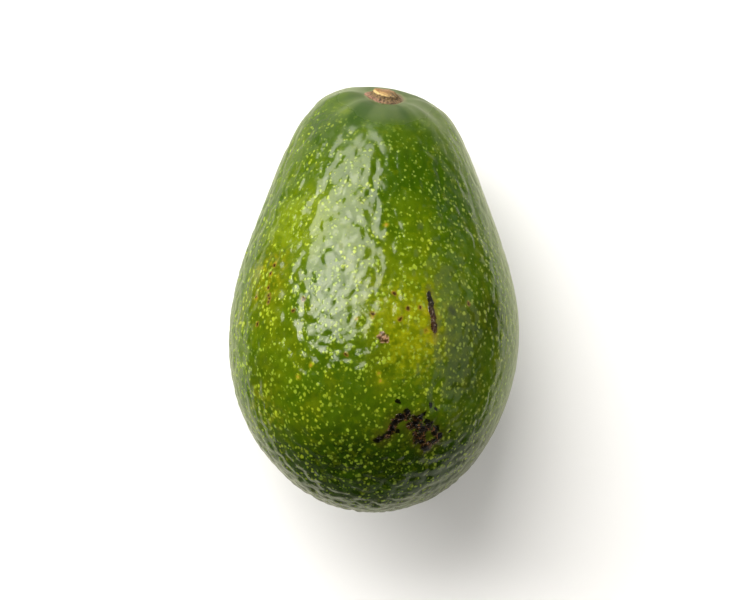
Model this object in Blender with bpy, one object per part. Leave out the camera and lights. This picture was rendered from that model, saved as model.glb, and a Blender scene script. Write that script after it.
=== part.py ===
"""A whole avocado lying on its side, with the stub of its stem.

The frame has +Z up, +Y from the blossom end to the stem end and +X to the right.
The origin is under the middle of the fruit's box, on the surface that the fruit lies on.
The fruit and the stem stub are two solids: the stub stands in a shallow round socket.
Each is shaped about the middle of the fruit, and main() moves both to the origin.
"""
import math

import bmesh
import bpy
from mathutils import Matrix, Vector, noise

MM = 0.001

# The fruit, in metres and degrees.
LENGTH = 100.0 * MM            # from the blossom end to the stem end
FULLNESS = (0.770, 0.635, 0.900, 0.287, 0.760)  # of the outline, blossom end to stem end
HEIGHT_TO_WIDTH = 0.96         # the section is a little flatter than it is wide
SAG = 0.10                     # the middle line falls this much for its length, neck down
SWAY = 0.30 * MM               # the belly swells a little to the left of the middle line
SWAY_PLACE = -22.0 * MM
SWAY_REACH = 14.0 * MM
SWELL = 0.9 * MM               # the left flank swells again, nearer the blossom end
SWELL_PLACE = -33.0 * MM
SWELL_REACH = 11.0 * MM
CROWN_LEAN = 2.0 * MM          # the crown is higher on its left than on its right
CROWN_RANGE = (0.86, 0.97)     # where the lean begins and is full, as shares of the way up
REST_CUT = 0.45 * MM           # depth of the flat spot under the belly
REST_CALM = (5.0 * MM, 14.0 * MM)  # the relief grows from none to full over this distance

# The pit at the stem. Its place is an angle seen from the middle of the fruit before it is
# drawn out to its length, and its axis is a real direction.
PIT_PLACE_SIDE = 3.0
PIT_PLACE_RISE = 14.7
PIT_AXIS_SIDE = 9.0
PIT_AXIS_RISE = 20.0
PIT_DEPTH = 1.0 * MM
PIT_RADIUS = 6.5 * MM
PIT_FAR_SHARE = 0.84           # the pit is narrower on its far side, below the stem
PIT_FAR_TURN = (70.0, 150.0)   # where it narrows, in degrees from its upper side
SHOULDER_DIP = 0.2 * MM        # a wider, shallower fall around the pit
SHOULDER_RADIUS = 12.0 * MM
SOCKET_RADIUS = 4.9 * MM
SOCKET_DEPTH = 1.6 * MM        # below the floor of the pit
SOCKET_SIDES = 40

# The relief of the skin.
PEBBLE_SIZE = 7.0 * MM
PEBBLE_HEIGHT = 0.35 * MM
PEBBLE_STRETCH = 1.5           # pebbles are longer than wide on the neck
LUMP_SIZE = 26.0 * MM
LUMP_HEIGHT = 0.15 * MM
PEBBLE_CALM = (9.0 * MM, 26.0 * MM)  # the pebbles grow from none to full over this distance

# The ribs and furrows that run out of the pit, as turns and widths in degrees, and heights.
# The turn is 0 on the pit's upper side, and grows to the right.
RIBS = (
    (-122.0, 11.0, 0.22 * MM),
    (-88.0, 10.0, 0.42 * MM),
    (-64.0, 11.0, -0.34 * MM),
    (-42.0, 11.0, 0.22 * MM),
    (-18.0, 12.0, -0.12 * MM),
    (8.0, 13.0, 0.14 * MM),
    (34.0, 11.0, -0.16 * MM),
    (56.0, 9.0, 0.26 * MM),
    (75.0, 8.0, -0.28 * MM),
    (95.0, 9.0, 0.34 * MM),
    (125.0, 11.0, 0.16 * MM),
)
RIB_PLACE = 10.5 * MM          # from the middle of the pit to where they stand highest
RIB_SPREAD = 0.45              # how slowly they die away, nearer and further
FINE_REACH = 11.0 * MM         # from the middle of the pit, with finer faces

# The stem stub.
GAP = 0.3 * MM                 # clear space between the two pieces
STUB_FOOT = SOCKET_RADIUS - GAP
STUB_FACE = 2.85 * MM          # radius of the cut face
STUB_RISE = 1.4 * MM           # from the floor of the pit to the cut face
STUB_SLANT = 0.10              # the cut face falls this much for its width, to the right
STUB_WOBBLE = 0.05             # of the radius, since the wood is never quite round
STUB_SIDES = 36

# Faces along each edge of the cube that becomes the fruit.
GRID = 29


def smooth_step(low, high, value):
    """Rise from 0 to 1 between two values."""
    share = min(max((value - low) / (high - low), 0.0), 1.0)
    return share * share * (3.0 - 2.0 * share)


def pointing(side, rise):
    """Give the direction that lies side degrees to the right of +Y and rise degrees above it."""
    side = math.radians(side)
    rise = math.radians(rise)
    return Vector((math.sin(side), math.cos(side) * math.cos(rise), math.cos(side) * math.sin(rise)))


def fullness(along):
    """Blend the outline's fullness, with along 0 at the blossom end and 1 at the stem end."""
    order = len(FULLNESS) - 1
    return sum(
        math.comb(order, step) * along**step * (1.0 - along) ** (order - step) * share
        for step, share in enumerate(FULLNESS)
    )


def form_point(direction):
    """Place a direction from the middle of the fruit on its plain form."""
    half_length = 0.5 * LENGTH
    half_width = half_length * fullness(0.5 + 0.5 * direction.y)
    along = half_length * direction.y
    sway = SWAY * math.exp(-(((along - SWAY_PLACE) / SWAY_REACH) ** 2))
    swell = SWELL * math.exp(-(((along - SWELL_PLACE) / SWELL_REACH) ** 2)) * min(direction.x, 0.0) ** 2
    lean = CROWN_LEAN * direction.x * smooth_step(*CROWN_RANGE, direction.y)
    height = half_width * HEIGHT_TO_WIDTH * direction.z
    return Vector((half_width * direction.x - sway - swell, along - lean, height - SAG * along))


PIT_MIDDLE = form_point(pointing(PIT_PLACE_SIDE, PIT_PLACE_RISE))
PIT_AXIS = pointing(PIT_AXIS_SIDE, PIT_AXIS_RISE)
PIT_TURN = PIT_AXIS.to_track_quat("Z", "X").to_matrix()
PIT_FLOOR = PIT_MIDDLE - PIT_AXIS * (PIT_DEPTH + SHOULDER_DIP)


def pit_relief(point):
    """Sink the pit and raise the ribs that run out of it, in metres along the skin's normal."""
    local = (point - PIT_MIDDLE) @ PIT_TURN
    distance = max(local.length, 0.01 * PIT_RADIUS)
    turn = math.degrees(math.atan2(local.y, local.x))
    radius = PIT_RADIUS * (1.0 - (1.0 - PIT_FAR_SHARE) * smooth_step(*PIT_FAR_TURN, abs(turn)))
    sink = PIT_DEPTH * math.exp(-((distance / radius) ** 4))
    fall = SHOULDER_DIP * math.exp(-((distance / SHOULDER_RADIUS) ** 2))
    ribs = sum(height * math.exp(-(((turn - place) / width) ** 2)) for place, width, height in RIBS)
    reach = math.exp(-((math.log(distance / RIB_PLACE) / RIB_SPREAD) ** 2))
    return ribs * reach - sink - fall


def skin_relief(point):
    """Raise the pebbles and the broad lumps of the skin, in metres along its normal."""
    stretch = 1.0 + (PEBBLE_STRETCH - 1.0) * smooth_step(0.0, 0.5 * LENGTH, point.y)
    cell = Vector((point.x, point.y / stretch, point.z)) / PEBBLE_SIZE
    nearest = noise.voronoi(cell)[0][0]
    lump = noise.noise(point / LUMP_SIZE)
    calm = smooth_step(*PEBBLE_CALM, (point - PIT_MIDDLE).length)
    return calm * (PEBBLE_HEIGHT * (1.0 - 2.0 * nearest) + LUMP_HEIGHT * lump)


def round_cube():
    """Make a unit ball from a cube, with finer faces around the pit."""
    ball = bmesh.new()
    bmesh.ops.create_cube(ball, size=2.0)
    bmesh.ops.subdivide_edges(ball, edges=ball.edges[:], cuts=GRID - 1, use_grid_fill=True)
    for corner in ball.verts:
        corner.co = Vector([math.tan(0.25 * math.pi * value) for value in corner.co]).normalized()
    near = {
        corner for corner in ball.verts
        if (form_point(corner.co) - PIT_MIDDLE).length < FINE_REACH
    }
    fine = [edge for edge in ball.edges if near.issuperset(edge.verts)]
    bmesh.ops.subdivide_edges(ball, edges=fine, cuts=1, use_grid_fill=True)
    for corner in ball.verts:
        corner.co.normalize()
    return ball


def fruit_shape():
    """Shape the fruit: its form, its relief and the flat spot that it rests on."""
    fruit = round_cube()
    for corner in fruit.verts:
        corner.co = form_point(corner.co)
    bmesh.ops.recalc_face_normals(fruit, faces=fruit.faces)
    fruit.normal_update()
    lowest = min(fruit.verts, key=lambda corner: corner.co.z).co.copy()
    plain = [(corner, corner.co.copy(), corner.normal.copy()) for corner in fruit.verts]
    for corner, place, normal in plain:
        calm = smooth_step(*REST_CALM, (place - lowest).length)
        corner.co += normal * (pit_relief(place) + calm * skin_relief(place))
    everything = fruit.verts[:] + fruit.edges[:] + fruit.faces[:]
    cut = bmesh.ops.bisect_plane(
        fruit, geom=everything, dist=1e-7, clear_outer=True,
        plane_co=lowest + Vector((0.0, 0.0, REST_CUT)), plane_no=(0.0, 0.0, -1.0),
    )
    rim = [part for part in cut["geom_cut"] if isinstance(part, bmesh.types.BMEdge)]
    bmesh.ops.contextual_create(fruit, geom=rim)
    return fruit


def stub_profile():
    """List the stub's (radius, height above the pit's floor), from its root to its cut face."""
    root = GAP - SOCKET_DEPTH
    return [
        (0.90 * STUB_FOOT, root),
        (STUB_FOOT, root + 0.25 * STUB_RISE),
        (STUB_FOOT, -0.10 * STUB_RISE),
        (0.92 * STUB_FOOT, 0.15 * STUB_RISE),
        (1.13 * STUB_FACE, 0.42 * STUB_RISE),
        (1.02 * STUB_FACE, 0.70 * STUB_RISE),
        (STUB_FACE, 0.92 * STUB_RISE),
        (0.93 * STUB_FACE, STUB_RISE),
        (0.50 * STUB_FACE, 0.96 * STUB_RISE),
    ]


def stub_shape():
    """Turn the stub's profile about the pit's axis, a little out of round above the skin."""
    stub = bmesh.new()
    rings = []
    for radius, height in stub_profile():
        rough = STUB_WOBBLE * smooth_step(0.0, STUB_RISE, height)
        ring = []
        for side in range(STUB_SIDES):
            turn = 2.0 * math.pi * side / STUB_SIDES
            wobble = noise.noise(Vector((2.0 * math.cos(turn), 2.0 * math.sin(turn), 400.0 * height)))
            reach = radius * (1.0 + 2.0 * rough * wobble)
            across = reach * math.sin(turn)
            slant = STUB_SLANT * across * smooth_step(0.0, STUB_RISE, height)
            local = Vector((reach * math.cos(turn), across, height - slant))
            ring.append(stub.verts.new(PIT_FLOOR + PIT_TURN @ local))
        rings.append(ring)
    for lower, upper in zip(rings, rings[1:]):
        for side in range(STUB_SIDES):
            after = (side + 1) % STUB_SIDES
            stub.faces.new((lower[side], lower[after], upper[after], upper[side]))
    stub.faces.new(rings[0])
    stub.faces.new(rings[-1])
    return stub


def new_object(name, shape, colour, roughness):
    """Turn a bmesh into an object that is shaded smooth and has its own material."""
    mesh = bpy.data.meshes.new(name)
    bmesh.ops.recalc_face_normals(shape, faces=shape.faces)
    shape.to_mesh(mesh)
    shape.free()
    mesh.shade_smooth()
    mesh.set_sharp_from_angle(angle=math.radians(50.0))
    material = bpy.data.materials.new(name)
    material.use_nodes = True
    finish = material.node_tree.nodes["Principled BSDF"]
    finish.inputs["Base Color"].default_value = (*colour, 1.0)
    finish.inputs["Roughness"].default_value = roughness
    finish.inputs["Metallic"].default_value = 0.0
    mesh.materials.append(material)
    thing = bpy.data.objects.new(name, mesh)
    bpy.context.scene.collection.objects.link(thing)
    return thing


def socket_cutter():
    """Make the guide that cuts the round socket for the stub."""
    above = 4.0 * STUB_RISE
    shape = bmesh.new()
    bmesh.ops.create_cone(
        shape, cap_ends=True, segments=SOCKET_SIDES, radius1=SOCKET_RADIUS, radius2=SOCKET_RADIUS,
        depth=SOCKET_DEPTH + above,
    )
    middle = PIT_FLOOR + PIT_AXIS * 0.5 * (above - SOCKET_DEPTH)
    shape.transform(Matrix.Translation(middle) @ PIT_TURN.to_4x4())
    cutter = new_object("socket_cutter", shape, (0.5, 0.5, 0.5), 0.5)
    cutter.hide_render = True
    cutter.display_type = "WIRE"
    return cutter


def cut_socket(fruit, cutter):
    """Cut the socket out of the fruit."""
    cut = fruit.modifiers.new("socket", "BOOLEAN")
    cut.operation = "DIFFERENCE"
    cut.object = cutter


def set_down(things, fruit):
    """Move everything so that the origin is under the middle of the fruit's box."""
    low = Vector([min(corner.co[axis] for corner in fruit.data.vertices) for axis in range(3)])
    high = Vector([max(corner.co[axis] for corner in fruit.data.vertices) for axis in range(3)])
    shift = Vector((-0.5 * (low.x + high.x), -0.5 * (low.y + high.y), -low.z))
    for thing in things:
        thing.location = shift


def main():
    for thing in list(bpy.data.objects):
        bpy.data.objects.remove(thing)
    fruit = new_object("fruit", fruit_shape(), (0.10, 0.19, 0.01), 0.3)
    stub = new_object("stem_stub", stub_shape(), (0.28, 0.15, 0.05), 0.7)
    cutter = socket_cutter()
    cut_socket(fruit, cutter)
    set_down([fruit, stub, cutter], fruit)


main()
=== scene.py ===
"""The looks of a whole avocado that lies on its side: its skin, its stem stub and the studio."""
import math

import bpy
import numpy as np
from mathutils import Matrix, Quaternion, Vector, noise

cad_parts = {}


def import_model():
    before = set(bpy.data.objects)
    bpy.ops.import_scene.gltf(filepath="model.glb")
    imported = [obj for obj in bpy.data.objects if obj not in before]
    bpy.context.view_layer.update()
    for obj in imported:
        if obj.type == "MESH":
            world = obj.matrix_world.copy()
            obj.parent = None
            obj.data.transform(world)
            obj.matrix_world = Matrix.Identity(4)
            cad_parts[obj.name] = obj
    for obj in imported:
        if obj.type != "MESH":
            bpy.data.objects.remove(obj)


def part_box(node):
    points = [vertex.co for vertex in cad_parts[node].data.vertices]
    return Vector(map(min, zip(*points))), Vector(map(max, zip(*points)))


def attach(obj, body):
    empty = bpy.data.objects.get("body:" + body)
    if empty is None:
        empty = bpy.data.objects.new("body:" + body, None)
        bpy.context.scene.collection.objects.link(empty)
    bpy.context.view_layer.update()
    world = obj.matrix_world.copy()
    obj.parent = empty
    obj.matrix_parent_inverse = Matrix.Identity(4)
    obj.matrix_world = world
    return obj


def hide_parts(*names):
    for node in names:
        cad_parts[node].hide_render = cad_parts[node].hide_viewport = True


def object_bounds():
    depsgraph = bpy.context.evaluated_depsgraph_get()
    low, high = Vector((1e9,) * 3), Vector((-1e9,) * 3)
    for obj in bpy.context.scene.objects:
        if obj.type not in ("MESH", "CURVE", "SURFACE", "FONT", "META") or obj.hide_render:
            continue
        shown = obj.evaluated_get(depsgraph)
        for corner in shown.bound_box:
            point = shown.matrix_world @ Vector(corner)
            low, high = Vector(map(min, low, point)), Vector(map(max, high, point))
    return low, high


MM = 0.001

# The fruit's form, as its solid has it.
LENGTH = 100.0 * MM
FULLNESS = (0.770, 0.635, 0.900, 0.287, 0.760)
HEIGHT_TO_WIDTH = 0.96
SAG = 0.10
SWAY = 0.30 * MM
SWAY_PLACE = -22.0 * MM
SWAY_REACH = 14.0 * MM
SWELL = 0.9 * MM
SWELL_PLACE = -33.0 * MM
SWELL_REACH = 11.0 * MM
CROWN_LEAN = 2.0 * MM
CROWN_RANGE = (0.86, 0.97)
REST_CUT = 0.45 * MM
REST_CALM = (5.0 * MM, 14.0 * MM)
PIT_PLACE = (3.0, 14.7)
PIT_LEAN = (9.0, 20.0)
PIT_DEPTH = 1.0 * MM
PIT_RADIUS = 6.5 * MM
PIT_FAR_SHARE = 0.84
PIT_FAR_TURN = (70.0, 150.0)
SHOULDER_DIP = 0.2 * MM
SHOULDER_RADIUS = 12.0 * MM
LUMP_SIZE = 26.0 * MM
LUMP_HEIGHT = 0.15 * MM
PEBBLE_CALM = (8.5 * MM, 22.0 * MM)

# The ribs and furrows that run out of the pit, as turns and widths in degrees, and heights.
# The turn is 0 on the pit's upper side, and grows to the right.
RIBS = (
    (-122.0, 11.0, 0.22 * MM),
    (-88.0, 10.0, 0.52 * MM),
    (-64.0, 11.0, -0.44 * MM),
    (-42.0, 11.0, 0.14 * MM),
    (-18.0, 12.0, -0.12 * MM),
    (8.0, 13.0, 0.14 * MM),
    (34.0, 11.0, -0.16 * MM),
    (60.0, 9.0, 0.22 * MM),
    (75.0, 8.0, -0.28 * MM),
    (95.0, 9.0, 0.34 * MM),
    (125.0, 11.0, 0.16 * MM),
)
RIB_PLACE = 10.5 * MM
RIB_SPREAD = 0.45

# Painted sheen and painted shade around the pit, in streaks paler along the ribs and greener in the
# furrows: turn and width in degrees, and share, above 0 for painted sheen and below 0 for painted shade.
RIB_SHEEN_AND_SHADE = (
    (-108.0, 17.0, 0.90), (-75.0, 8.0, -0.40), (-54.0, 7.0, 0.35), (-30.0, 13.0, -0.90),
    (34.0, 9.0, -0.50), (50.0, 6.0, 0.35), (72.0, 14.0, 0.60), (104.0, 16.0, 0.50),
)
SHEEN_AND_SHADE_PLACE = 8.5 * MM
SHEEN_AND_SHADE_SPREAD = 0.65

# The fine relief of the skin.
PEBBLE_SIZE = 2.3 * MM
PEBBLE_HEIGHT = 0.13 * MM
PEBBLE_SOFTNESS = 9.0          # the lower, the rounder the valleys between pebbles
PEBBLE_FALL = 4.0              # the higher, the narrower the pebbles' tops
PEBBLE_WARP = 0.35             # how far the pebbles are pushed out of line, as a share of their size
PEBBLE_STRETCH = 1.6           # how much longer they are at the stem end
PEBBLE_SEED = 1                # without a seed, Blender's noise_vector differs from run to run
FURROW_SIZE = 5.2 * MM
FURROW_WIDTH = 0.11
FURROW_DEPTH = 0.10 * MM
RIPPLE_SIZE = 2.0 * MM
RIPPLE_HEIGHT = 0.14 * MM
BLOSSOM_RANGE = (-28.0 * MM, -42.0 * MM)
BLOSSOM_RISE = 0.3             # how much higher the pebbles are around the blossom end
BLOSSOM_CALM = 0.5             # how much of the furrows and ripples is gone there
FLANK_SHARES = (0.30, 0.70)    # how much lower the relief is on the left and right flanks
FLANK_RANGE = (0.50, 0.95)     # how far the skin faces sideways where that starts and ends
SCAB_GRAIN = 0.9 * MM
SCAB_HEIGHT = 0.12 * MM
SCAB_REACH = 1.1 * MM
BIT_REACH = 0.7 * MM
SCAB_SLOPE = (0.4, 1.3)        # where the edge of a scab's spot starts and ends, as shares of its reach
SCAB_ROUGHNESS = 1.5

# Edges between faces that turn by more than this look sharp.
SHARP_TURN = math.radians(60.0)

# The cube that becomes the fruit: faces along each edge, and then cuts along each face's edge.
COARSE_GRID = 63
FINE_CUTS = 1

# The stem stub.
STUB_FOOT = 4.75 * MM
STUB_FACE = 2.85 * MM
STUB_RISE = 1.4 * MM
STUB_SLANT = 0.10
STUB_ROOT = 1.2 * MM            # how far it reaches below the pit's floor
STUB_SINK = 0.3 * MM
STUB_SIDES = 96
# How far its side waves and frays, its grain chips sideways and up, and its rim is torn, in millimetres.
STUB_LOBES = 0.22
STUB_FIBRES = 0.22
STUB_CHIPS = (0.16, 0.14)
STUB_TEAR = 0.25
STUB_GRAIN = 0.45 * MM          # the size of the chips
# Where the foot's edge reaches out or is cut back: turn and width in degrees, reach in millimetres.
FOOT_EDGE = ((-92.0, 15.0, 0.45), (-50.0, 26.0, -0.85), (38.0, 32.0, 0.40), (84.0, 14.0, 0.25))

# Marks on the upper side, as (right, ahead) of the middle of the fruit, in millimetres.
SCAB_CRUST = (
    (2.9, -30.9), (1.6, -31.6), (3.5, -30.0), (4.1, -29.0), (4.8, -27.8), (5.8, -26.8),
    (7.3, -26.6), (8.2, -28.8), (9.2, -28.3), (10.2, -28.9), (8.9, -27.2), (10.1, -27.0),
    (9.4, -30.7), (10.5, -31.2), (11.2, -29.8), (12.3, -29.0), (13.6, -30.1), (14.6, -31.1),
    (13.9, -32.2), (12.4, -33.0), (11.0, -32.5), (11.7, -33.8), (9.8, -32.0),
)
SCAB_CORES = (
    (0.9, -32.1), (1.8, -31.5), (4.1, -29.3), (4.9, -27.7), (6.3, -26.5), (7.5, -25.5),
    (9.2, -28.2), (10.6, -26.7), (11.3, -26.1), (12.9, -28.3), (11.9, -27.8), (10.9, -29.6),
    (14.5, -29.4), (15.2, -31.1), (10.7, -32.6), (11.7, -34.0), (13.8, -32.0), (5.3, -30.0),
)
SCAB_BITS = ((5.6, -23.3), (5.1, -23.1), (12.7, -24.0), (13.7, -25.0), (17.4, -30.0))
CRACK = (
    (12.2, 0.6), (12.4, -0.2), (12.7, -1.2), (12.6, -2.2), (12.9, -3.3), (13.2, -4.4),
    (13.1, -5.4), (13.4, -6.3),
)
CRACK_PALE = ((12.5, -0.9), (12.9, -2.9), (13.3, -5.0), (13.4, -6.0))
CRACK_YELLOW = ((13.5, -8.2), (13.0, -9.4), (11.9, -7.0), (11.5, -3.0))
PINK_SCAR = ((1.2, -8.7), (2.2, -8.9), (1.7, -8.2), (1.7, -9.6), (2.7, -9.4))
PINK_CORES = ((1.5, -7.9), (1.1, -9.1), (2.4, -9.6), (2.8, -8.5))
BROWN_SPECKS = (
    (4.3, 1.1), (10.1, -2.0), (5.7, -4.7), (7.4, -2.3), (21.4, -1.0), (11.6, -7.2), (-0.6, -3.6),
    (-23.2, 7.2), (-24.0, 5.3), (-24.5, 2.1), (-27.4, -0.2), (-24.3, -1.4), (-24.1, -0.5), (-24.3, 0.4),
    (-26.9, -6.3), (-16.2, -0.4), (-18.5, -3.1), (-6.4, -12.8),
)
RUST_SPECKS = (
    (4.2, 1.3), (10.2, -1.9), (5.6, -4.7), (-0.7, -4.4), (-4.1, -4.7), (-17.2, -18.1),
    (-14.3, -15.4), (1.0, -17.0), (1.4, -18.6), (-23.0, 7.7), (-23.9, 5.1), (2.2, 16.6),
    (-27.2, -0.4),
)
DARK_BRUISE = ((17.1, -2.4), (17.8, -3.0))

# Broad patches of the ground colour: place, reach in millimetres, share and colour.
GROUND_PATCHES = (
    ((11.5, 25.0), 19.0, 0.9, (0.026, 0.062, 0.0003)),
    ((5.5, 2.0), 16.0, 0.85, (0.085, 0.125, 0.0003)),
    ((8.6, -6.6), 12.0, 0.45, (0.140, 0.165, 0.0003)),
    ((8.2, -7.0), 8.5, 0.45, (0.190, 0.205, 0.0003)),
    ((9.0, 18.0), 9.0, 0.6, (0.072, 0.118, 0.0003)),
    ((1.0, -14.0), 6.0, 0.4, (0.090, 0.110, 0.0003)),
    ((19.5, -9.0), 12.0, 0.75, (0.046, 0.063, 0.005)),
    ((15.5, 4.0), 7.0, 0.6, (0.055, 0.078, 0.004)),
    ((26.0, -5.0), 9.0, 0.8, (0.026, 0.044, 0.0003)),
    ((-18.0, 17.0), 13.0, 0.75, (0.135, 0.185, 0.0006)),
    ((-13.0, 39.0), 9.0, 0.8, (0.022, 0.054, 0.0003)),
    ((-22.0, -7.0), 7.0, 0.5, (0.100, 0.125, 0.0006)),
    ((-25.0, 3.0), 10.0, 0.7, (0.100, 0.125, 0.0006)),
    ((-12.0, -15.0), 8.0, 0.45, (0.034, 0.074, 0.0003)),
    ((-25.0, -19.0), 9.0, 0.6, (0.056, 0.080, 0.0004)),
    ((-5.0, -19.5), 9.0, 0.55, (0.034, 0.068, 0.0003)),
    ((19.0, -19.5), 7.0, 0.5, (0.030, 0.040, 0.006)),
    ((-5.0, -37.0), 8.0, 0.7, (0.012, 0.030, 0.0003)),
)

# Where ripe yellow blotches gather: place, reach in millimetres, share and colour.
RIPE_PATCHES = (
    ((7.5, -4.0), 14.0, 0.42, (0.270, 0.285, 0.003)),
    ((9.5, -13.0), 9.0, 0.38, (0.260, 0.270, 0.003)),
    ((-25.0, 5.0), 9.0, 0.40, (0.270, 0.240, 0.004)),
    ((-24.0, -26.0), 8.0, 0.35, (0.220, 0.210, 0.006)),
)

# The skin's ground colours.
PLAIN_GREEN = (0.040, 0.080, 0.0004)
FRESH_GREEN = (0.062, 0.105, 0.0004)
BLOSSOM_GREEN = (0.010, 0.024, 0.0003)
STREAK_YELLOW = (0.110, 0.130, 0.0006)
MOTTLE_PALE = (0.115, 0.145, 0.0006)
MOTTLE_DARK = (0.016, 0.040, 0.0003)
FLECK_DARK = (0.022, 0.055, 0.0004)
# Grey green around the stem, partly the skin's own colour and partly a painted sheen.
BARE_GREY_AND_SHEEN = (0.046, 0.074, 0.017)
# Painted sheen along the ribs around the pit.
RIB_PAINTED_SHEEN = (0.130, 0.160, 0.075)
# Painted shade in the furrows around the pit.
FURROW_PAINTED_SHADE = (0.018, 0.048, 0.001)
# A painted pale reflection on the lip around the stub.
LIP_PAINTED_REFLECTION = (0.180, 0.170, 0.085)
CORK_BROWN = (0.110, 0.065, 0.030)

# The freckles' colours, and how soft their edges are.
FRECKLE_GREEN = (0.215, 0.300, 0.020)
FRECKLE_YELLOW = (0.300, 0.365, 0.014)
FRECKLE_RIGHT = (0.155, 0.185, 0.045)
FRECKLE_NECK = (0.165, 0.245, 0.035)
FRECKLE_BLOSSOM = (0.105, 0.150, 0.018)
FRECKLE_BLUR = 0.12

# The small marks, from the lowest layer up: their places, then radius, outer edge and inner edge in
# millimetres, share and colour.
SMALL_MARKS = (
    (DARK_BRUISE, 0.80, 0.60, -0.70, 0.6, (0.020, 0.024, 0.008)),
    (RUST_SPECKS, 0.25, 0.80, 0.00, 0.5, (0.250, 0.240, 0.003)),
    (RUST_SPECKS, 0.26, 0.25, -0.25, 0.7, (0.300, 0.160, 0.020)),
    (BROWN_SPECKS, 0.42, 0.40, 0.05, 0.6, (0.160, 0.075, 0.012)),
    (BROWN_SPECKS, 0.36, 0.12, -0.15, 0.9, (0.025, 0.012, 0.003)),
)

# The colours of the scar, the crack and the scabs.
SCAR_BROWN = (0.060, 0.028, 0.010)
SCAR_PINK = (0.300, 0.170, 0.100)
SCAR_CORE = (0.025, 0.012, 0.004)
CRACK_HALO = (0.300, 0.250, 0.003)
CRACK_EDGE = (0.110, 0.090, 0.004)
CRACK_LOWER = (0.038, 0.016, 0.004)
CRACK_UPPER = (0.012, 0.012, 0.003)
CRACK_GRAIN = (0.010, 0.005, 0.002)
CRACK_CORK = (0.230, 0.180, 0.120)
CRACK_THIN = (1.0, 0.35, 1.0)          # draws the crack's spots out lengthwise
SCAB_HALO = (0.046, 0.046, 0.002)
SCAB_BLACK = (0.0040, 0.0020, 0.0005)
SCAB_BROWN = (0.045, 0.015, 0.001)
# Paler brown for the scabs' ridges, partly the cork's own colour and partly a painted highlight.
SCAB_RIDGE_AND_HIGHLIGHT = (0.150, 0.062, 0.012)
SCAB_DEEP = (0.0015, 0.0010, 0.0005)

# The stub's colours, each pair from its dark to its light grain.
SIDE_WOOD = ((0.024, 0.014, 0.004), (0.150, 0.092, 0.030))
FOOT_WOOD = ((0.040, 0.018, 0.010), (0.230, 0.120, 0.070))
FACE_WOOD = ((0.170, 0.085, 0.026), (0.400, 0.250, 0.085))
FACE_BAND = (0.165, 0.075, 0.026)
FACE_LEFT = (0.300, 0.185, 0.110)
FACE_RIM = (0.560, 0.400, 0.150)

# The camera.
LENS = 150.0
SENSOR = 36.0
VIEW_WIDTH = 174.9 * MM         # what the camera takes in, at the height of the belly
VIEW_DEPTH = 10.0              # nothing farther off is drawn
AIM = (-0.45 * MM, -0.40 * MM)
ROLL = 0.7                     # degrees

# The floor: its colour to look at, its dimmer mirror image in the skin, near the fruit and far off,
# the distances where near turns into far, and where and how it glows far off.
FLOOR_SIZE = 8.0
CARD_SEEN = (0.86, 0.86, 0.86)
CARD_MIRRORED = (0.50, 0.50, 0.40)
CARD_MIRRORED_RIGHT = (0.70, 0.72, 0.55)
CARD_MIRRORED_BEFORE = (0.62, 0.62, 0.50)
CARD_FAR = (0.015, 0.015, 0.015)
CARD_FAR_BEFORE_LEFT = (0.11, 0.11, 0.09)
CARD_FAR_BEFORE_RIGHT = (0.42, 0.42, 0.38)
CARD_RANGE = (92.0 * MM, 126.0 * MM)
CARD_SIDE_REACH = 20.0 * MM     # how much farther the near part reaches out sideways
HORIZON_RANGE = (0.9, 2.6)
HORIZON_GLOW = (0.80, 0.79, 0.77)
BLACK = (0.0, 0.0, 0.0)

# The lights: name, direction, distance, size, power, colour and spin in degrees. The sheets and
# cards show in the skin's gloss, and light nothing.
SHEET_COLOUR = (1.0, 0.96, 0.86)
KEY_LIGHT = ("key", (-0.44, 0.60, 0.66), 1.5, (1.90, 1.15), 50.0, (1.0, 0.98, 0.94), -36.0)
GLOSS_LIGHTS = (
    ("sheet", (-0.451, 0.627, 0.635), 1.5, (1.45, 1.15), 29.0, SHEET_COLOUR, -20.0),
    ("sheet_middle", (-0.49, 0.52, 0.70), 1.4, (0.70, 0.50), 4.6, SHEET_COLOUR, -20.0),
    ("sheet_low", (-0.50, 0.21, 0.84), 1.4, (0.36, 1.00), 6.3, SHEET_COLOUR, 19.5),
    ("card_behind", (-0.09, 0.995, 0.03), 0.9, (1.05, 0.30), 0.36, SHEET_COLOUR, 0.0),
    ("card_right", (0.86, 0.08, 0.44), 0.9, (1.05, 0.58), 0.85, (0.88, 0.94, 1.0), 0.0),
)
ROOM_COLOUR = (1.0, 0.975, 0.925, 1.0)
ROOM_FILL = 0.61
ROOM_MIRRORED = 0.01
ROOM_SEEN = 1.0


# ---------------------------------------------------------------- numbers and shapes

def smooth_step(low, high, value):
    """Rise from 0 to 1 from the first value to the second, for one number or an array."""
    share = np.clip((value - low) / (high - low), 0.0, 1.0)
    return share * share * (3.0 - 2.0 * share)


def pointing(side, rise):
    """Give the direction that lies side degrees to the right of +Y and rise degrees above it."""
    side = math.radians(side)
    rise = math.radians(rise)
    return np.array((math.sin(side), math.cos(side) * math.cos(rise), math.cos(side) * math.sin(rise)))


def fullness(along):
    """Blend the outline's fullness, with along 0 at the blossom end and 1 at the stem end."""
    order = len(FULLNESS) - 1
    return sum(
        math.comb(order, step) * along**step * (1.0 - along) ** (order - step) * share
        for step, share in enumerate(FULLNESS)
    )


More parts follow.
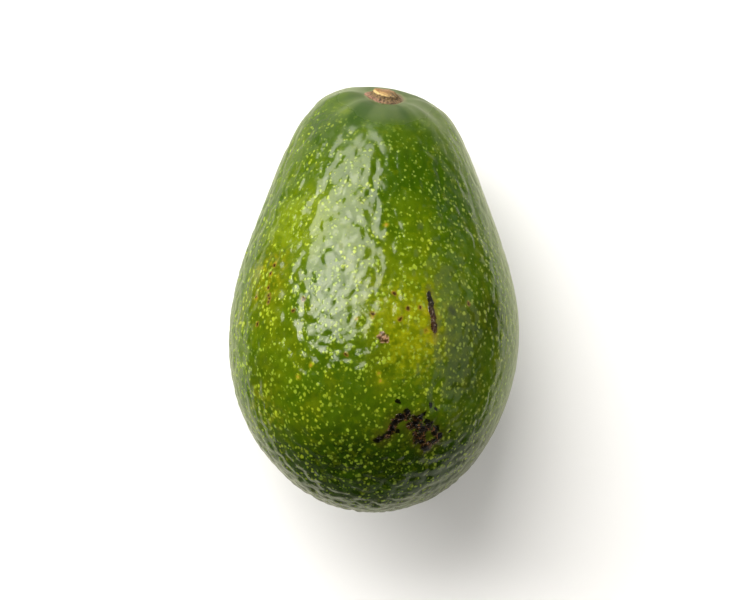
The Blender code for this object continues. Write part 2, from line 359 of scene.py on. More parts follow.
def form_points(directions):
    """Place directions from the middle of the fruit on its plain form."""
    side, ahead, up = np.asarray(directions, dtype=float).reshape(-1, 3).T
    half_width = 0.5 * LENGTH * fullness(0.5 + 0.5 * ahead)
    along = 0.5 * LENGTH * ahead
    sway = SWAY * np.exp(-(((along - SWAY_PLACE) / SWAY_REACH) ** 2))
    swell = SWELL * np.exp(-(((along - SWELL_PLACE) / SWELL_REACH) ** 2)) * np.minimum(side, 0.0) ** 2
    lean = CROWN_LEAN * side * smooth_step(*CROWN_RANGE, ahead)
    height = half_width * HEIGHT_TO_WIDTH * up - SAG * along
    return np.stack((half_width * side - sway - swell, along - lean, height), axis=1)


def deselect():
    """Leave edit mode and select nothing."""
    if bpy.context.object and bpy.context.object.mode != "OBJECT":
        bpy.ops.object.mode_set(mode="OBJECT")
    bpy.ops.object.select_all(action="DESELECT")


PIT_MIDDLE = form_points(pointing(*PIT_PLACE))[0]
PIT_AXIS = Vector(pointing(*PIT_LEAN))
PIT_TURN = PIT_AXIS.to_track_quat("Z", "X").to_matrix()
STUB_PLACE = PIT_MIDDLE - np.array(PIT_AXIS) * (PIT_DEPTH + SHOULDER_DIP + STUB_SINK)


# ---------------------------------------------------------------- the fruit

def pit_relief(points):
    """Sink the pit and raise the ribs that run out of it; give the shares of the painted sheen and shade
    streaks too.
    """
    local = (points - PIT_MIDDLE) @ np.array(PIT_TURN)
    distance = np.maximum(np.linalg.norm(local, axis=1), 0.01 * PIT_RADIUS)
    turn = np.degrees(np.arctan2(local[:, 1], local[:, 0]))
    radius = PIT_RADIUS * (1.0 - (1.0 - PIT_FAR_SHARE) * smooth_step(*PIT_FAR_TURN, np.abs(turn)))
    sink = PIT_DEPTH * np.exp(-((distance / radius) ** 4))
    fall = SHOULDER_DIP * np.exp(-((distance / SHOULDER_RADIUS) ** 2))
    ribs = sum(height * np.exp(-(((turn - place) / width) ** 2)) for place, width, height in RIBS)
    ribs *= np.exp(-((np.log(distance / RIB_PLACE) / RIB_SPREAD) ** 2))
    # Shares of the painted sheen (above 0) and painted shade (below 0) in streaks around the pit.
    rib_light_shares = sum(share * np.exp(-(((turn - place) / width) ** 2)) for place, width, share in RIB_SHEEN_AND_SHADE)
    rib_light_shares *= np.exp(-((np.log(distance / SHEEN_AND_SHADE_PLACE) / SHEEN_AND_SHADE_SPREAD) ** 2))
    return ribs - sink - fall, rib_light_shares


def skin_relief(points):
    """Raise the soft pebbles and ripples of the skin, sink its furrows, and add broad lumps."""
    stretch = 1.0 + (PEBBLE_STRETCH - 1.0) * smooth_step(0.0, 0.5 * LENGTH, points[:, 1])
    drawn = points.copy()
    drawn[:, 1] /= stretch
    blossom = smooth_step(*BLOSSOM_RANGE, points[:, 1])
    heights = PEBBLE_HEIGHT * (1.0 + BLOSSOM_RISE * blossom)
    liveliness = 1.0 - BLOSSOM_CALM * blossom
    relief = np.empty(len(points))
    noise.seed_set(PEBBLE_SEED)
    for index, place in enumerate(drawn):
        place = Vector(place)
        cell = place / PEBBLE_SIZE
        cell += PEBBLE_WARP * noise.noise_vector(cell * 0.8)
        near = sum(math.exp(-PEBBLE_SOFTNESS * gap) for gap in noise.voronoi(cell)[0])
        gap = -math.log(near) / PEBBLE_SOFTNESS
        furrow = math.exp(-((noise.noise(place / FURROW_SIZE) / FURROW_WIDTH) ** 2))
        soft = FURROW_DEPTH * furrow - RIPPLE_HEIGHT * noise.noise(place / RIPPLE_SIZE)
        relief[index] = heights[index] * (1.0 - PEBBLE_FALL * gap * abs(gap)) - liveliness[index] * soft
    lumps = np.array([noise.noise(Vector(point)) for point in points / LUMP_SIZE])
    calm = smooth_step(*PEBBLE_CALM, np.linalg.norm(points - PIT_MIDDLE, axis=1))
    return calm * (relief + LUMP_HEIGHT * lumps)


def top_place(right, ahead):
    """Find the skin above a point of the plan, in millimetres, without the belly's swell."""
    along = 0.5 + ahead * MM / LENGTH
    half_width = LENGTH * math.sqrt(along * (1.0 - along)) * fullness(along)
    sway = SWAY * math.exp(-(((ahead * MM - SWAY_PLACE) / SWAY_REACH) ** 2))
    rise = math.sqrt(half_width**2 - (right * MM + sway) ** 2) * HEIGHT_TO_WIDTH
    return Vector((right * MM, ahead * MM, rise - SAG * ahead * MM))


def scab_relief(points):
    """Raise the corky scabs a little, with a rough top."""
    raised = np.zeros(len(points))
    for spots, reach in ((SCAB_CRUST, SCAB_REACH), (SCAB_BITS + CRACK, BIT_REACH)):
        for spot in spots:
            gap = np.linalg.norm(points - np.array(top_place(*spot)), axis=1)
            raised = np.maximum(raised, 1.0 - smooth_step(*SCAB_SLOPE, gap / reach))
    for index in np.flatnonzero(raised):
        rough = noise.noise(Vector(points[index]) / SCAB_GRAIN)
        raised[index] *= SCAB_HEIGHT * (1.0 + SCAB_ROUGHNESS * rough)
    return raised


def read_rows(items, name):
    """Read a vector of every item, such as the place of every corner, as an array."""
    values = np.empty(3 * len(items))
    items.foreach_get(name, values)
    return values.reshape(-1, 3)


def write_points(mesh, points):
    """Move the mesh's corners."""
    mesh.vertices.foreach_set("co", points.ravel())
    mesh.update()


def grow_fruit():
    """Grow the fruit's skin from a finely cut cube, and press its flat spot."""
    deselect()
    bpy.ops.mesh.primitive_cube_add(size=2.0)
    fruit = bpy.context.object
    fruit.name = fruit.data.name = "avocado_skin"
    bpy.ops.object.mode_set(mode="EDIT")
    bpy.ops.mesh.select_all(action="SELECT")
    bpy.ops.mesh.subdivide(number_cuts=COARSE_GRID - 1)
    bpy.ops.mesh.subdivide(number_cuts=FINE_CUTS)
    bpy.ops.object.mode_set(mode="OBJECT")
    mesh = fruit.data
    ball = np.tan(0.25 * math.pi * read_rows(mesh.vertices, "co"))
    ball /= np.linalg.norm(ball, axis=1)[:, None]
    plain = form_points(ball)
    write_points(mesh, plain)
    normals = read_rows(mesh.vertex_normals, "vector")
    lowest = plain[plain[:, 2].argmin()]
    calm = smooth_step(*REST_CALM, np.linalg.norm(plain - lowest, axis=1))
    pit, rib_light_shares = pit_relief(plain)
    for share, side in zip(FLANK_SHARES, (-normals[:, 0], normals[:, 0])):
        calm *= 1.0 - share * smooth_step(*FLANK_RANGE, side)
    relief = pit + calm * skin_relief(plain) + scab_relief(plain)
    write_points(mesh, plain + normals * relief[:, None])
    # Keep the shares of painted sheen and shade for the skin's colour.
    mesh.attributes.new("painted_rib_light", "FLOAT", "POINT").data.foreach_set("value", rib_light_shares)
    bpy.ops.object.mode_set(mode="EDIT")
    bpy.ops.mesh.select_all(action="SELECT")
    bpy.ops.mesh.bisect(
        plane_co=(0.0, 0.0, lowest[2] + REST_CUT), plane_no=(0.0, 0.0, -1.0),
        use_fill=True, clear_outer=True, threshold=1e-7,
    )
    bpy.ops.object.mode_set(mode="OBJECT")
    bpy.ops.object.shade_smooth_by_angle(angle=SHARP_TURN)
    return fruit


def stub_profile():
    """List the stub's (radius, height above the pit's floor) above its root."""
    return (
        (1.00 * STUB_FOOT, -0.35 * STUB_RISE),
        (1.00 * STUB_FOOT, 0.00 * STUB_RISE),
        (0.93 * STUB_FOOT, 0.16 * STUB_RISE),
        (1.20 * STUB_FACE, 0.36 * STUB_RISE),
        (1.08 * STUB_FACE, 0.60 * STUB_RISE),
        (1.03 * STUB_FACE, 0.86 * STUB_RISE),
        (0.97 * STUB_FACE, 1.00 * STUB_RISE),
        (0.80 * STUB_FACE, 0.97 * STUB_RISE),
        (0.45 * STUB_FACE, 0.93 * STUB_RISE),
        (0.12 * STUB_FACE, 0.95 * STUB_RISE),
    )


def stub_relief(local):
    """Roughen the wood: ragged foot, fibres down the side, a torn rim and a grainy cut face."""
    moved = local.copy()
    for index, point in enumerate(local):
        radius = math.hypot(point[0], point[1])
        share = point[2] / STUB_RISE
        side = smooth_step(0.3, 0.9, radius / STUB_FACE)
        out = Vector((point[0], point[1], 0.0)) / max(radius, 1e-9)
        lobes = noise.noise(out * 1.6 + Vector((3.1, 0.0, 0.4 * share)))
        fibres = noise.noise(out * 9.0 + Vector((0.0, 0.0, 0.5 * share)))
        chips = noise.noise(Vector(point) / STUB_GRAIN)
        turn = math.degrees(math.atan2(point[1], point[0]))
        edge = sum(reach * math.exp(-(((turn - at) / width) ** 2)) for at, width, reach in FOOT_EDGE)
        foot = 1.0 - smooth_step(0.0, 0.4, share)
        reach = foot * edge + STUB_LOBES * lobes + STUB_FIBRES * fibres + STUB_CHIPS[0] * chips
        moved[index, :2] += np.array(out[:2]) * reach * MM * side
        tear = STUB_TEAR * noise.noise(out * 1.3 + Vector((7.0, 0.0, 0.0))) * side
        top = smooth_step(0.2, 0.9, share)
        moved[index, 2] += ((tear + STUB_CHIPS[1] * chips) * MM - STUB_SLANT * point[1]) * top
    return moved


def carve_stub():
    """Draw the stub up out of a disc, ring by ring, then roughen it and stand it in the pit."""
    deselect()
    bpy.ops.mesh.primitive_circle_add(
        vertices=STUB_SIDES, radius=STUB_FOOT, fill_type="NGON", location=(0.0, 0.0, -STUB_ROOT),
    )
    stub = bpy.context.object
    stub.name = stub.data.name = "woody_stub"
    bpy.ops.object.mode_set(mode="EDIT")
    bpy.ops.mesh.select_all(action="SELECT")
    radius, height = STUB_FOOT, -STUB_ROOT
    for next_radius, next_height in stub_profile():
        bpy.ops.mesh.extrude_region_move(
            TRANSFORM_OT_translate={"value": (0.0, 0.0, next_height - height)})
        share = next_radius / radius
        bpy.ops.transform.resize(value=(share, share, 1.0), center_override=(0.0, 0.0, next_height))
        radius, height = next_radius, next_height
    bpy.ops.mesh.poke()
    bpy.ops.mesh.select_all(action="SELECT")
    bpy.ops.mesh.normals_make_consistent(inside=False)
    bpy.ops.object.mode_set(mode="OBJECT")
    bpy.ops.object.transform_apply(location=True, rotation=True, scale=True)
    rounding = stub.modifiers.new("rounding", "SUBSURF")
    rounding.levels = rounding.render_levels = 2
    bpy.ops.object.modifier_apply(modifier="rounding")
    local = stub_relief(read_rows(stub.data.vertices, "co"))
    write_points(stub.data, local @ np.array(PIT_TURN).T + STUB_PLACE)
    bpy.ops.object.shade_smooth_by_angle(angle=SHARP_TURN)
    return stub


def set_down(things, solid_box):
    """Move pieces from the fruit's middle to where its solid lies."""
    mesh = things[0].data
    points = read_rows(mesh.vertices, "co")
    low, high = points.min(axis=0), points.max(axis=0)
    want_low, want_high = np.array(solid_box[0]), np.array(solid_box[1])
    shift = 0.5 * (want_low + want_high) - 0.5 * (low + high)
    shift[2] = want_low[2] - low[2]
    for thing in things:
        write_points(thing.data, read_rows(thing.data.vertices, "co") + shift)
    return Vector(shift)


# ---------------------------------------------------------------- finishes

class Number:
    """A shader socket that Python's own operators work on."""

    def __init__(self, finish, socket):
        self.finish = finish
        self.socket = socket

    def math(self, operation, *values):
        made = self.finish.node("ShaderNodeMath", {"operation": operation}, dict(enumerate(values)))
        return Number(self.finish, made.outputs[0])

    def __add__(self, other):
        return self.math("ADD", self, other)

    def __sub__(self, other):
        return self.math("SUBTRACT", self, other)

    def __rsub__(self, other):
        return self.math("SUBTRACT", other, self)

    def __mul__(self, other):
        return self.math("MULTIPLY", self, other)

    def __truediv__(self, other):
        return self.math("DIVIDE", self, other)

    def __rtruediv__(self, other):
        return self.math("DIVIDE", other, self)

    def __pow__(self, other):
        return self.math("POWER", self, other)

    def least(self, other):
        return self.math("MINIMUM", self, other)

    def most(self, other):
        return self.math("MAXIMUM", self, other)

    def rise(self, low, high):
        """Go smoothly from 0 to 1 between two values, or from 1 to 0 if low is over high."""
        start, end = (0.0, 1.0) if low < high else (1.0, 0.0)
        made = self.finish.node(
            "ShaderNodeMapRange", {"interpolation_type": "SMOOTHSTEP"},
            {0: self, 1: min(low, high), 2: max(low, high), 3: start, 4: end},
        )
        return Number(self.finish, made.outputs[0])

    __radd__ = __add__
    __rmul__ = __mul__


class Nodes:
    """A tree of shader nodes that are made one call at a time."""

    def __init__(self, tree):
        self.tree = tree
        self.tree.nodes.clear()

    def node(self, kind, settings=None, values=None):
        """Make a node of a kind, set it up, and fill or link its sockets."""
        made = self.tree.nodes.new(kind)
        for name, value in (settings or {}).items():
            setattr(made, name, value)
        for name, value in (values or {}).items():
            if isinstance(value, Number):
                value = value.socket
            if isinstance(value, bpy.types.NodeSocket):
                self.tree.links.new(value, made.inputs[name])
            else:
                made.inputs[name].default_value = value
        return made


class Finish(Nodes):
    """A material whose pattern follows the place on its piece."""

    def __init__(self, name):
        self.material = bpy.data.materials.new(name)
        self.material.use_nodes = True
        super().__init__(self.material.node_tree)
        self.place = self.node("ShaderNodeTexCoord").outputs["Object"]

    def number(self, made, output=0):
        return Number(self, made.outputs[output])

    def noise(self, size, detail=2.0, roughness=0.5, place=None):
        """Give a cloudy noise from 0 to 1 with lumps of a size in metres."""
        made = self.node("ShaderNodeTexNoise", {}, {
            "Vector": place or self.place, "Scale": 1.0 / size, "Detail": detail, "Roughness": roughness,
        })
        return self.number(made)

    def vector(self, operation, *values):
        made = self.node("ShaderNodeVectorMath", {"operation": operation}, dict(enumerate(values)))
        return made.outputs["Value" if operation in ("LENGTH", "DISTANCE") else "Vector"]

    def mix(self, share, first, second):
        """Go from one colour to another."""
        made = self.node("ShaderNodeMix", {"data_type": "RGBA"}, {
            0: share, 6: opaque(first), 7: opaque(second),
        })
        return made.outputs[2]

    def warped(self, size, reach, detail=2.0):
        """Push the place about by a noise, so that what is drawn there has uneven edges."""
        made = self.node("ShaderNodeTexNoise", {}, {
            "Vector": self.place, "Scale": 1.0 / size, "Detail": detail,
        })
        centred = self.vector("SUBTRACT", made.outputs["Color"], (0.5, 0.5, 0.5))
        push = self.node("ShaderNodeVectorMath", {"operation": "SCALE"}, {
            0: centred, "Scale": 2.0 * reach,
        })
        return self.vector("ADD", self.place, push.outputs["Vector"])

    def near(self, place, spots):
        """Give the distance to the nearest of some round spots, below 0 inside one."""
        nearest = None
        for spot, radius in spots:
            gap = Number(self, self.vector("DISTANCE", place, tuple(spot))) - radius
            nearest = gap if nearest is None else nearest.least(gap)
        return nearest

    def bump(self, height, distance, strength, normal=None):
        values = {"Height": height, "Distance": distance, "Strength": strength}
        if normal is not None:
            values["Normal"] = normal
        return self.node("ShaderNodeBump", {}, values).outputs["Normal"]

    def surface(self, **values):
        """Finish with one Principled shader."""
        shader = self.node("ShaderNodeBsdfPrincipled", {}, {
            name.replace("_", " ").title().replace("Ior", "IOR"): value for name, value in values.items()
        })
        self.node("ShaderNodeOutputMaterial", {}, {"Surface": shader.outputs[0]})
        return self.material


def opaque(colour):
    """Give a plain colour its alpha, and leave a link alone."""
    return (*colour, 1.0) if isinstance(colour, tuple) and len(colour) == 3 else colour


class Skin(Finish):
    """The skin's material, with the places and noises that its colours and relief share."""

    def __init__(self, shift):
        super().__init__("avocado_skin")
        self.shift = shift
        parts = self.node("ShaderNodeSeparateXYZ", {}, {0: self.place})
        self.right, self.ahead = self.number(parts, 0), self.number(parts, 1)
        from_stem = self.vector("SUBTRACT", self.place, tuple(Vector(PIT_MIDDLE) + shift))
        self.stem = Number(self, self.vector("LENGTH", from_stem))
        self.cloud = self.noise(16.0 * MM, 3.0)
        self.fleck = self.noise(3.5 * MM, 3.0)
        self.streak = self.noise(4.5 * MM, 3.0, 0.5, self.vector("MULTIPLY", self.place, (1.0, 0.4, 1.0)))
        self.mottle = self.noise(1.9 * MM, 3.0, 0.6)
        self.crust = self.noise(0.8 * MM, 3.0, 0.6)
        self.speckle = self.noise(0.7 * MM, 2.0)
        self.soft = self.warped(14.0 * MM, 5.0 * MM)
        self.uneven = self.warped(1.1 * MM, 0.50 * MM)
        self.bare = (self.stem + (self.cloud - 0.5) * 8.0 * MM).rise(13.0 * MM, 7.5 * MM)

    def patched(self, tone, patches, fade, cover=1.0):
        """Lay broad patches on a colour, each full within a share of its reach."""
        for place, reach, share, colour in patches:
            middle = tuple(top_place(*place) + self.shift)
            patch = Number(self, self.vector("DISTANCE", self.soft, middle))
            patch = patch.rise(reach * MM, fade * reach * MM)
            tone = self.mix(patch * (cover * share), tone, colour)
        return tone

    def spots(self, places, radius):
        """List round spots for Finish.near from their places on the plan."""
        return [(top_place(*place) + self.shift, radius * MM) for place in places]

    def marks(self, places, radius, outer, inner, drawn_at=None):
        """Cover round spots, fading in from the outer to the inner distance from their edge."""
        drawn_at = self.uneven if drawn_at is None else drawn_at
        return self.near(drawn_at, self.spots(places, radius)).rise(outer * MM, inner * MM)


def freckled(skin, place, size, big, small, more):
    """Give soft spots of mixed sizes, one in each cell of a size in metres."""
    cells = skin.node("ShaderNodeTexVoronoi", {"feature": "F1"}, {
        "Vector": place, "Scale": 1.0 / size, "Randomness": 1.0,
    })
    pick = skin.number(skin.node("ShaderNodeSeparateColor", {}, {0: cells.outputs["Color"]}))
    edge = pick * (big - small) + small + more - skin.number(cells)
    return edge.rise(-FRECKLE_BLUR, FRECKLE_BLUR)


def domed(skin, place, size):
    """Give round-topped cells of a size in metres, with soft valleys between them."""
    cells = skin.node("ShaderNodeTexVoronoi", {"feature": "SMOOTH_F1"}, {
        "Vector": place, "Scale": 1.0 / size, "Randomness": 1.0, "Smoothness": 0.6,
    })
    return 1.0 - skin.number(cells) ** 2.0 * 1.6


def ground_tone(skin):
    """Leaf green, deeper at the blossom end and down the neck, with yellow where it ripens."""
    right, ahead = skin.right, skin.ahead
    tone = skin.mix(skin.cloud.rise(0.3, 0.7), PLAIN_GREEN, FRESH_GREEN)
    tone = skin.patched(tone, GROUND_PATCHES, 0.35)
    end = ahead.rise(-18.0 * MM, -42.0 * MM) * (1.0 - right.rise(-6.0 * MM, -24.0 * MM) * 0.35)
    end = end + (skin.cloud - 0.5) * 0.4
    tone = skin.mix(end.rise(0.0, 0.85) * 0.95, tone, BLOSSOM_GREEN)
    belly = ahead.rise(24.0 * MM, 5.0 * MM) * ahead.rise(-36.0 * MM, -24.0 * MM)
    tone = skin.mix(skin.streak.rise(0.50, 0.70) * belly * 0.35, tone, STREAK_YELLOW)
    tone = skin.mix(skin.mottle.rise(0.50, 0.68) * 0.30, tone, MOTTLE_PALE)
    tone = skin.mix(skin.mottle.rise(0.48, 0.32) * 0.30, tone, MOTTLE_DARK)
    tone = skin.mix(skin.fleck.rise(0.52, 0.34) * 0.40, tone, FLECK_DARK)
    blotch = skin.noise(1.4 * MM, 2.0).rise(0.42, 0.70)
    return skin.patched(tone, RIPE_PATCHES, 0.30, blotch)


def bare_tone(skin, tone):
    """Bare skin around the stem: grey green, partly a painted sheen, with painted sheen along the ribs and
    painted shade in the furrows.
    """
    # Grey green around the stem, partly a painted sheen.
    tone = skin.mix(skin.bare * 0.8, tone, BARE_GREY_AND_SHEEN)
    painted_rib_light = skin.number(skin.node("ShaderNodeAttribute", {"attribute_name": "painted_rib_light"}), "Fac")
    # Painted sheen along the ribs.
    tone = skin.mix(painted_rib_light.rise(0.05, 0.75) * 0.90, tone, RIB_PAINTED_SHEEN)
    # Painted shade in the furrows.
    return skin.mix(painted_rib_light.rise(-0.05, -0.60) * 0.90, tone, FURROW_PAINTED_SHADE)


def freckle_cover(skin):
    """Freckles of two sizes, in loose clusters, smaller along the neck."""
    ragged = skin.vector("MULTIPLY", skin.warped(1.1 * MM, 0.52 * MM, 4.0), (1.0, 0.86, 1.0))
    herd = skin.noise(6.0 * MM, 2.0).rise(0.30, 0.62) * 0.12 - 0.05
    herd = herd - skin.ahead.rise(0.0, 34.0 * MM) * 0.04
    many = freckled(skin, ragged, 1.36 * MM, 0.25, 0.18, herd)
    few = freckled(skin, skin.vector("ADD", ragged, (0.03, 0.01, 0.02)), 1.1 * MM, 0.25, 0.11, herd)
    return many.most(few * 0.7) * skin.stem.rise(8.0 * MM, 24.0 * MM)


def freckle_tone(skin, tone, freckles):
    """Yellow freckles, greyer on the right, greener along the neck and darker at the blossom end."""
    right, ahead = skin.right, skin.ahead
    yellow = skin.mix(skin.streak.rise(0.42, 0.68), FRECKLE_GREEN, FRECKLE_YELLOW)
    yellow = skin.mix(right.rise(6.0 * MM, 24.0 * MM) * 0.55, yellow, FRECKLE_RIGHT)
    neck = ahead.rise(14.0 * MM, 30.0 * MM) * right.rise(-14.0 * MM, 6.0 * MM)
    yellow = skin.mix(neck * 0.7, yellow, FRECKLE_NECK)
    yellow = skin.mix(ahead.rise(-22.0 * MM, -44.0 * MM) * 0.6, yellow, FRECKLE_BLOSSOM)
    strength = skin.noise(2.4 * MM, 1.0).rise(0.35, 0.60) * 0.30 + 0.68
    return skin.mix(freckles * strength, tone, yellow)


def speck_tone(skin, tone):
    """A bruise, rust-coloured and brown specks, and a pink scar with dark cores."""
    for places, radius, outer, inner, share, colour in SMALL_MARKS:
        tone = skin.mix(skin.marks(places, radius, outer, inner) * share, tone, colour)
    scar = skin.mix(skin.speckle.rise(0.42, 0.58), SCAR_BROWN, SCAR_PINK)
    tone = skin.mix(skin.marks(PINK_SCAR, 0.70, 0.25, -0.25) * 0.9, tone, scar)
    return skin.mix(skin.marks(PINK_CORES, 0.30, 0.20, -0.20) * 0.9, tone, SCAR_CORE)


def crack_gap(skin):
    """Give the distance from the crack, which is a row of spots drawn out lengthwise."""
    thin = Vector(CRACK_THIN)
    spots = [(place * thin, radius) for place, radius in skin.spots(CRACK, 0.62)]
    return skin.near(skin.vector("MULTIPLY", skin.uneven, CRACK_THIN), spots)


def crack_tone(skin, tone, gap, crack):
    """A crack, browner in its lower half, with a yellow halo and bits of pale cork."""
    tone = skin.mix(skin.marks(CRACK_YELLOW, 0.3, 1.2, -0.1) * 0.4, tone, CRACK_HALO)
    tone = skin.mix(gap.rise(0.9 * MM, 0.1 * MM) * 0.5, tone, CRACK_EDGE)
    upper = (skin.ahead + skin.speckle * 3.0 * MM).rise(-2.0 * MM, 1.0 * MM)
    inside = skin.mix(upper, CRACK_LOWER, CRACK_UPPER)
    inside = skin.mix(skin.crust.rise(0.55, 0.38) * 0.8, inside, CRACK_GRAIN)
    tone = skin.mix(crack, tone, inside)
    return skin.mix(skin.marks(CRACK_PALE, 0.15, 0.20, -0.10) * 0.7, tone, CRACK_CORK)


def scab_tone(skin, tone, torn, scab, ridge):
    """Dark, corky scabs with paler brown ridges, partly a painted highlight, black cores and a dull halo.
    """
    core = skin.marks(SCAB_CORES, 0.72, 0.25, -0.25, torn)
    core = core.most(skin.marks(SCAB_BITS, 0.50, 0.20, -0.20, torn))
    tone = skin.mix(skin.marks(SCAB_CRUST, 0.9, 2.4, 0.0, torn) * 0.6, tone, SCAB_HALO)
    cork = skin.mix(skin.crust.rise(0.50, 0.66), SCAB_BLACK, SCAB_BROWN)
    # Paler brown along the scabs' ridges, partly a painted highlight.
    cork = skin.mix(ridge * 0.7, cork, SCAB_RIDGE_AND_HIGHLIGHT)
    tone = skin.mix(scab * (skin.mottle.rise(0.30, 0.45) * 0.22 + 0.76), tone, cork)
    return skin.mix(core * 0.95, tone, SCAB_DEEP)


def lip_tone(skin, tone):
    """A pale lip, its paleness a painted reflection, and a ring of cork around the stub."""
    lip = (skin.stem + (skin.crust - 0.5) * 1.0 * MM).rise(5.5 * MM, 4.7 * MM)
    cork = (skin.stem + (skin.crust - 0.5) * 1.2 * MM).rise(4.8 * MM, 4.3 * MM)
    # Painted pale reflection on the lip around the stub.
    tone = skin.mix(lip * 0.6, tone, LIP_PAINTED_REFLECTION)
    return skin.mix(cork, tone, CORK_BROWN)


def skin_normal(skin, freckles, ridge, crusted):
    """Soft cells, raised freckles and crusted scabs."""
    bent = skin.vector("MULTIPLY", skin.warped(3.0 * MM, 1.0 * MM), (1.0, 0.72, 1.0))
    scales = skin.ahead.rise(-26.0 * MM, -42.0 * MM) * 0.07 + 0.05
    cells = domed(skin, bent, 2.1 * MM) * scales + skin.noise(1.3 * MM, 1.0) * 0.06
    normal = skin.bump(cells * skin.stem.rise(11.0 * MM, 23.0 * MM), 1.0 * MM, 0.9)
    normal = skin.bump(freckles, 0.045 * MM, 0.8, normal)
    return skin.bump((skin.crust + ridge) * crusted, 0.10 * MM, 0.8, normal)


def skin_finish(shift):
    """Green, pebbled and freckled skin with scabs and specks, dull and bare around the stem."""
    skin = Skin(shift)
    freckles = freckle_cover(skin)
    gap = crack_gap(skin)
    crack = gap.rise(0.15 * MM, -0.12 * MM)
    torn = skin.warped(1.5 * MM, 0.95 * MM)
    scab = skin.marks(SCAB_CRUST, 0.95, 0.30, -0.25, torn)
    ridge = skin.noise(1.3 * MM, 2.0)
    ridge = ridge.rise(0.45, 0.49) * ridge.rise(0.54, 0.50)
    crusted = scab.most(crack)

    tone = bare_tone(skin, ground_tone(skin))
    tone = freckle_tone(skin, tone, freckles)
    tone = speck_tone(skin, tone)
    tone = crack_tone(skin, tone, gap, crack)
    tone = scab_tone(skin, tone, torn, scab, ridge)
    tone = lip_tone(skin, tone)
    dullness = skin.fleck.rise(0.3, 0.7) * 0.04 + 0.12 + skin.bare * 0.18 + crusted * 0.14
    dullness = dullness + skin.stem.rise(26.0 * MM, 12.0 * MM) * 0.10
    normal = skin_normal(skin, freckles, ridge, crusted)
    return skin.surface(base_color=tone, roughness=dullness, ior=1.5, normal=normal)


def wood_finish(shift):
    """Dry wood: a tan cut face, and a dark, fibrous side that reddens at the foot."""
    wood = Finish("dry_stem_wood")
    local = wood.vector("SUBTRACT", wood.place, tuple(Vector(STUB_PLACE) + shift))
    turned = wood.node("ShaderNodeVectorRotate", {"rotation_type": "EULER_XYZ", "invert": True}, {
        "Vector": local, "Rotation": tuple(PIT_TURN.to_euler()),
    }).outputs[0]
    parts = wood.node("ShaderNodeSeparateXYZ", {}, {0: turned})
    x, y, z = (wood.number(parts, axis) for axis in range(3))
    radius = (x * x + y * y) ** 0.5
    grain = wood.noise(0.55 * MM, 4.0, 0.65)
    blotch = wood.noise(1.8 * MM, 2.0)
    face = (z + (grain - 0.5) * 0.35 * MM).rise(0.80 * STUB_RISE, 0.95 * STUB_RISE)
    face = face * radius.rise(1.08 * STUB_FACE, 0.98 * STUB_FACE)

    side_tone = wood.mix(grain.rise(0.36, 0.62), *SIDE_WOOD)
    reddish = wood.mix(grain.rise(0.34, 0.55), *FOOT_WOOD)
    left = (y + blotch * 1.5 * MM).rise(1.8 * MM, -1.5 * MM)
    foot = z.rise(0.55 * STUB_RISE, 0.1 * STUB_RISE)
    side_tone = wood.mix((left * 0.8 + 0.2) * foot, side_tone, reddish)

    face_tone = wood.mix(grain.rise(0.30, 0.60), *FACE_WOOD)
    uneven = x + (blotch - 0.5) * 1.6 * MM
    face_tone = wood.mix(uneven.rise(0.9 * MM, -0.6 * MM) * 0.75, face_tone, FACE_BAND)
    face_tone = wood.mix(uneven.rise(-1.2 * MM, -2.2 * MM) * 0.7, face_tone, FACE_LEFT)
    rim = (radius + (grain - 0.5) * 0.8 * MM).rise(0.72 * STUB_FACE, 0.90 * STUB_FACE)
    face_tone = wood.mix(rim * x.rise(-1.0 * MM, 1.0 * MM) * 0.75, face_tone, FACE_RIM)
    tone = wood.mix(face, side_tone, face_tone)
    normal = wood.bump(grain, 0.15 * MM, 0.9)
    return wood.surface(base_color=tone, roughness=0.75, ior=1.45, normal=normal)


def floor_finish():
    """Plain white card, which the glossy skin mirrors only dimly, and hardly at all far off."""
    card = Finish("white_card")
    rays = card.node("ShaderNodeLightPath")
    distance = Number(card, card.vector("LENGTH", card.place))
    parts = card.node("ShaderNodeSeparateXYZ", {}, {0: card.place})
    right, ahead = card.number(parts, 0) / distance, card.number(parts, 1) / distance
    before = ahead.rise(-0.4, -0.8)
    far_before = card.mix(right.rise(0.0, 0.5), CARD_FAR_BEFORE_LEFT, CARD_FAR_BEFORE_RIGHT)
    far = card.mix(before, CARD_FAR, far_before)
    far = card.mix(ahead.rise(0.4, 0.85), far, CARD_MIRRORED)
    close = card.mix(right.rise(0.2, 0.8), CARD_MIRRORED, CARD_MIRRORED_RIGHT)
    close = card.mix(before, close, CARD_MIRRORED_BEFORE)
    reach = distance - right * right * CARD_SIDE_REACH
    mirrored = card.mix(reach.rise(*CARD_RANGE), close, far)
    tone = card.mix(rays.outputs["Is Glossy Ray"], CARD_SEEN, mirrored)
    glow = card.number(rays, "Is Camera Ray") * distance.rise(*HORIZON_RANGE)
    return card.surface(
        base_color=tone, roughness=0.8, specular_ior_level=0.0,
        emission_color=card.mix(glow, BLACK, HORIZON_GLOW), emission_strength=1.0,
    )


# ---------------------------------------------------------------- the studio

def lay_floor():
    """Lay a wide white floor under the fruit."""
    deselect()
    bpy.ops.mesh.primitive_plane_add(size=FLOOR_SIZE)
    floor = bpy.context.object
    floor.name = "studio_floor"
    floor.data.materials.append(floor_finish())


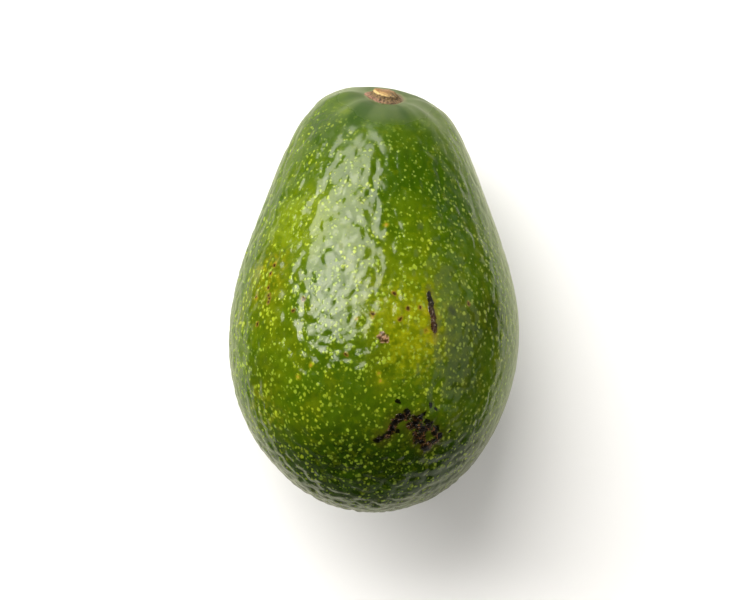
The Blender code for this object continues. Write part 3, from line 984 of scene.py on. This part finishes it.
def soft_box(name, direction, distance, size, power, colour, spin, lights=True, mirrored=True):
    """Hang a rectangle of soft light that faces the fruit."""
    light = bpy.data.lights.new(name, "AREA")
    light.shape = "RECTANGLE"
    light.size, light.size_y = size
    light.energy = power
    light.color = colour
    holder = bpy.data.objects.new(name, light)
    away = Vector(direction).normalized()
    holder.location = away * distance
    turn = away.to_track_quat("Z", "Y") @ Quaternion((0.0, 0.0, 1.0), math.radians(spin))
    holder.rotation_euler = turn.to_euler()
    holder.visible_diffuse = lights
    holder.visible_glossy = mirrored
    bpy.context.scene.collection.objects.link(holder)


def hang_lights():
    """Hang the key light, and the sheets and cards that the skin mirrors."""
    soft_box(*KEY_LIGHT, mirrored=False)
    for light in GLOSS_LIGHTS:
        soft_box(*light, lights=False)


def light_world():
    """Light the room: pale to look at, dim to be lit by, and nearly dark in the skin's gloss."""
    world = bpy.data.worlds.new("studio")
    bpy.context.scene.world = world
    world.use_nodes = True
    room = Nodes(world.node_tree)
    rays = room.node("ShaderNodeLightPath")
    fill = room.node("ShaderNodeMix", {}, {
        "Factor": rays.outputs["Is Glossy Ray"], "A": ROOM_FILL, "B": ROOM_MIRRORED,
    })
    shown = room.node("ShaderNodeMix", {}, {
        "Factor": rays.outputs["Is Camera Ray"], "A": fill.outputs["Result"], "B": ROOM_SEEN,
    })
    air = room.node("ShaderNodeBackground", {}, {"Color": ROOM_COLOUR, "Strength": shown.outputs["Result"]})
    room.node("ShaderNodeOutputWorld", {}, {0: air.outputs[0]})


def set_camera(low, high):
    """Look straight down on the fruit with a long lens, the stem at the top."""
    belly = low.z + 0.5 * (high.z - low.z)
    lens = bpy.data.cameras.new("camera")
    lens.lens = LENS
    lens.sensor_width = SENSOR
    lens.clip_end = VIEW_DEPTH
    camera = bpy.data.objects.new("camera", lens)
    distance = LENS * VIEW_WIDTH / SENSOR
    camera.location = (*AIM, belly + distance)
    camera.rotation_euler = (0.0, 0.0, math.radians(ROLL))
    bpy.context.scene.collection.objects.link(camera)
    bpy.context.scene.camera = camera


def main():
    """Grow the fruit in place of its solids, and set up the studio around it."""
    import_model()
    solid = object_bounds()
    skin = grow_fruit()
    stub = carve_stub()
    shift = set_down([skin, stub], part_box("fruit"))
    skin.data.materials.append(skin_finish(shift))
    stub.data.materials.append(wood_finish(shift))
    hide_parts("fruit")
    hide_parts("stem_stub")
    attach(skin, "root")
    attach(stub, "root")
    lay_floor()
    hang_lights()
    light_world()
    set_camera(*solid)
    bpy.context.scene.view_settings.view_transform = "Standard"


main()
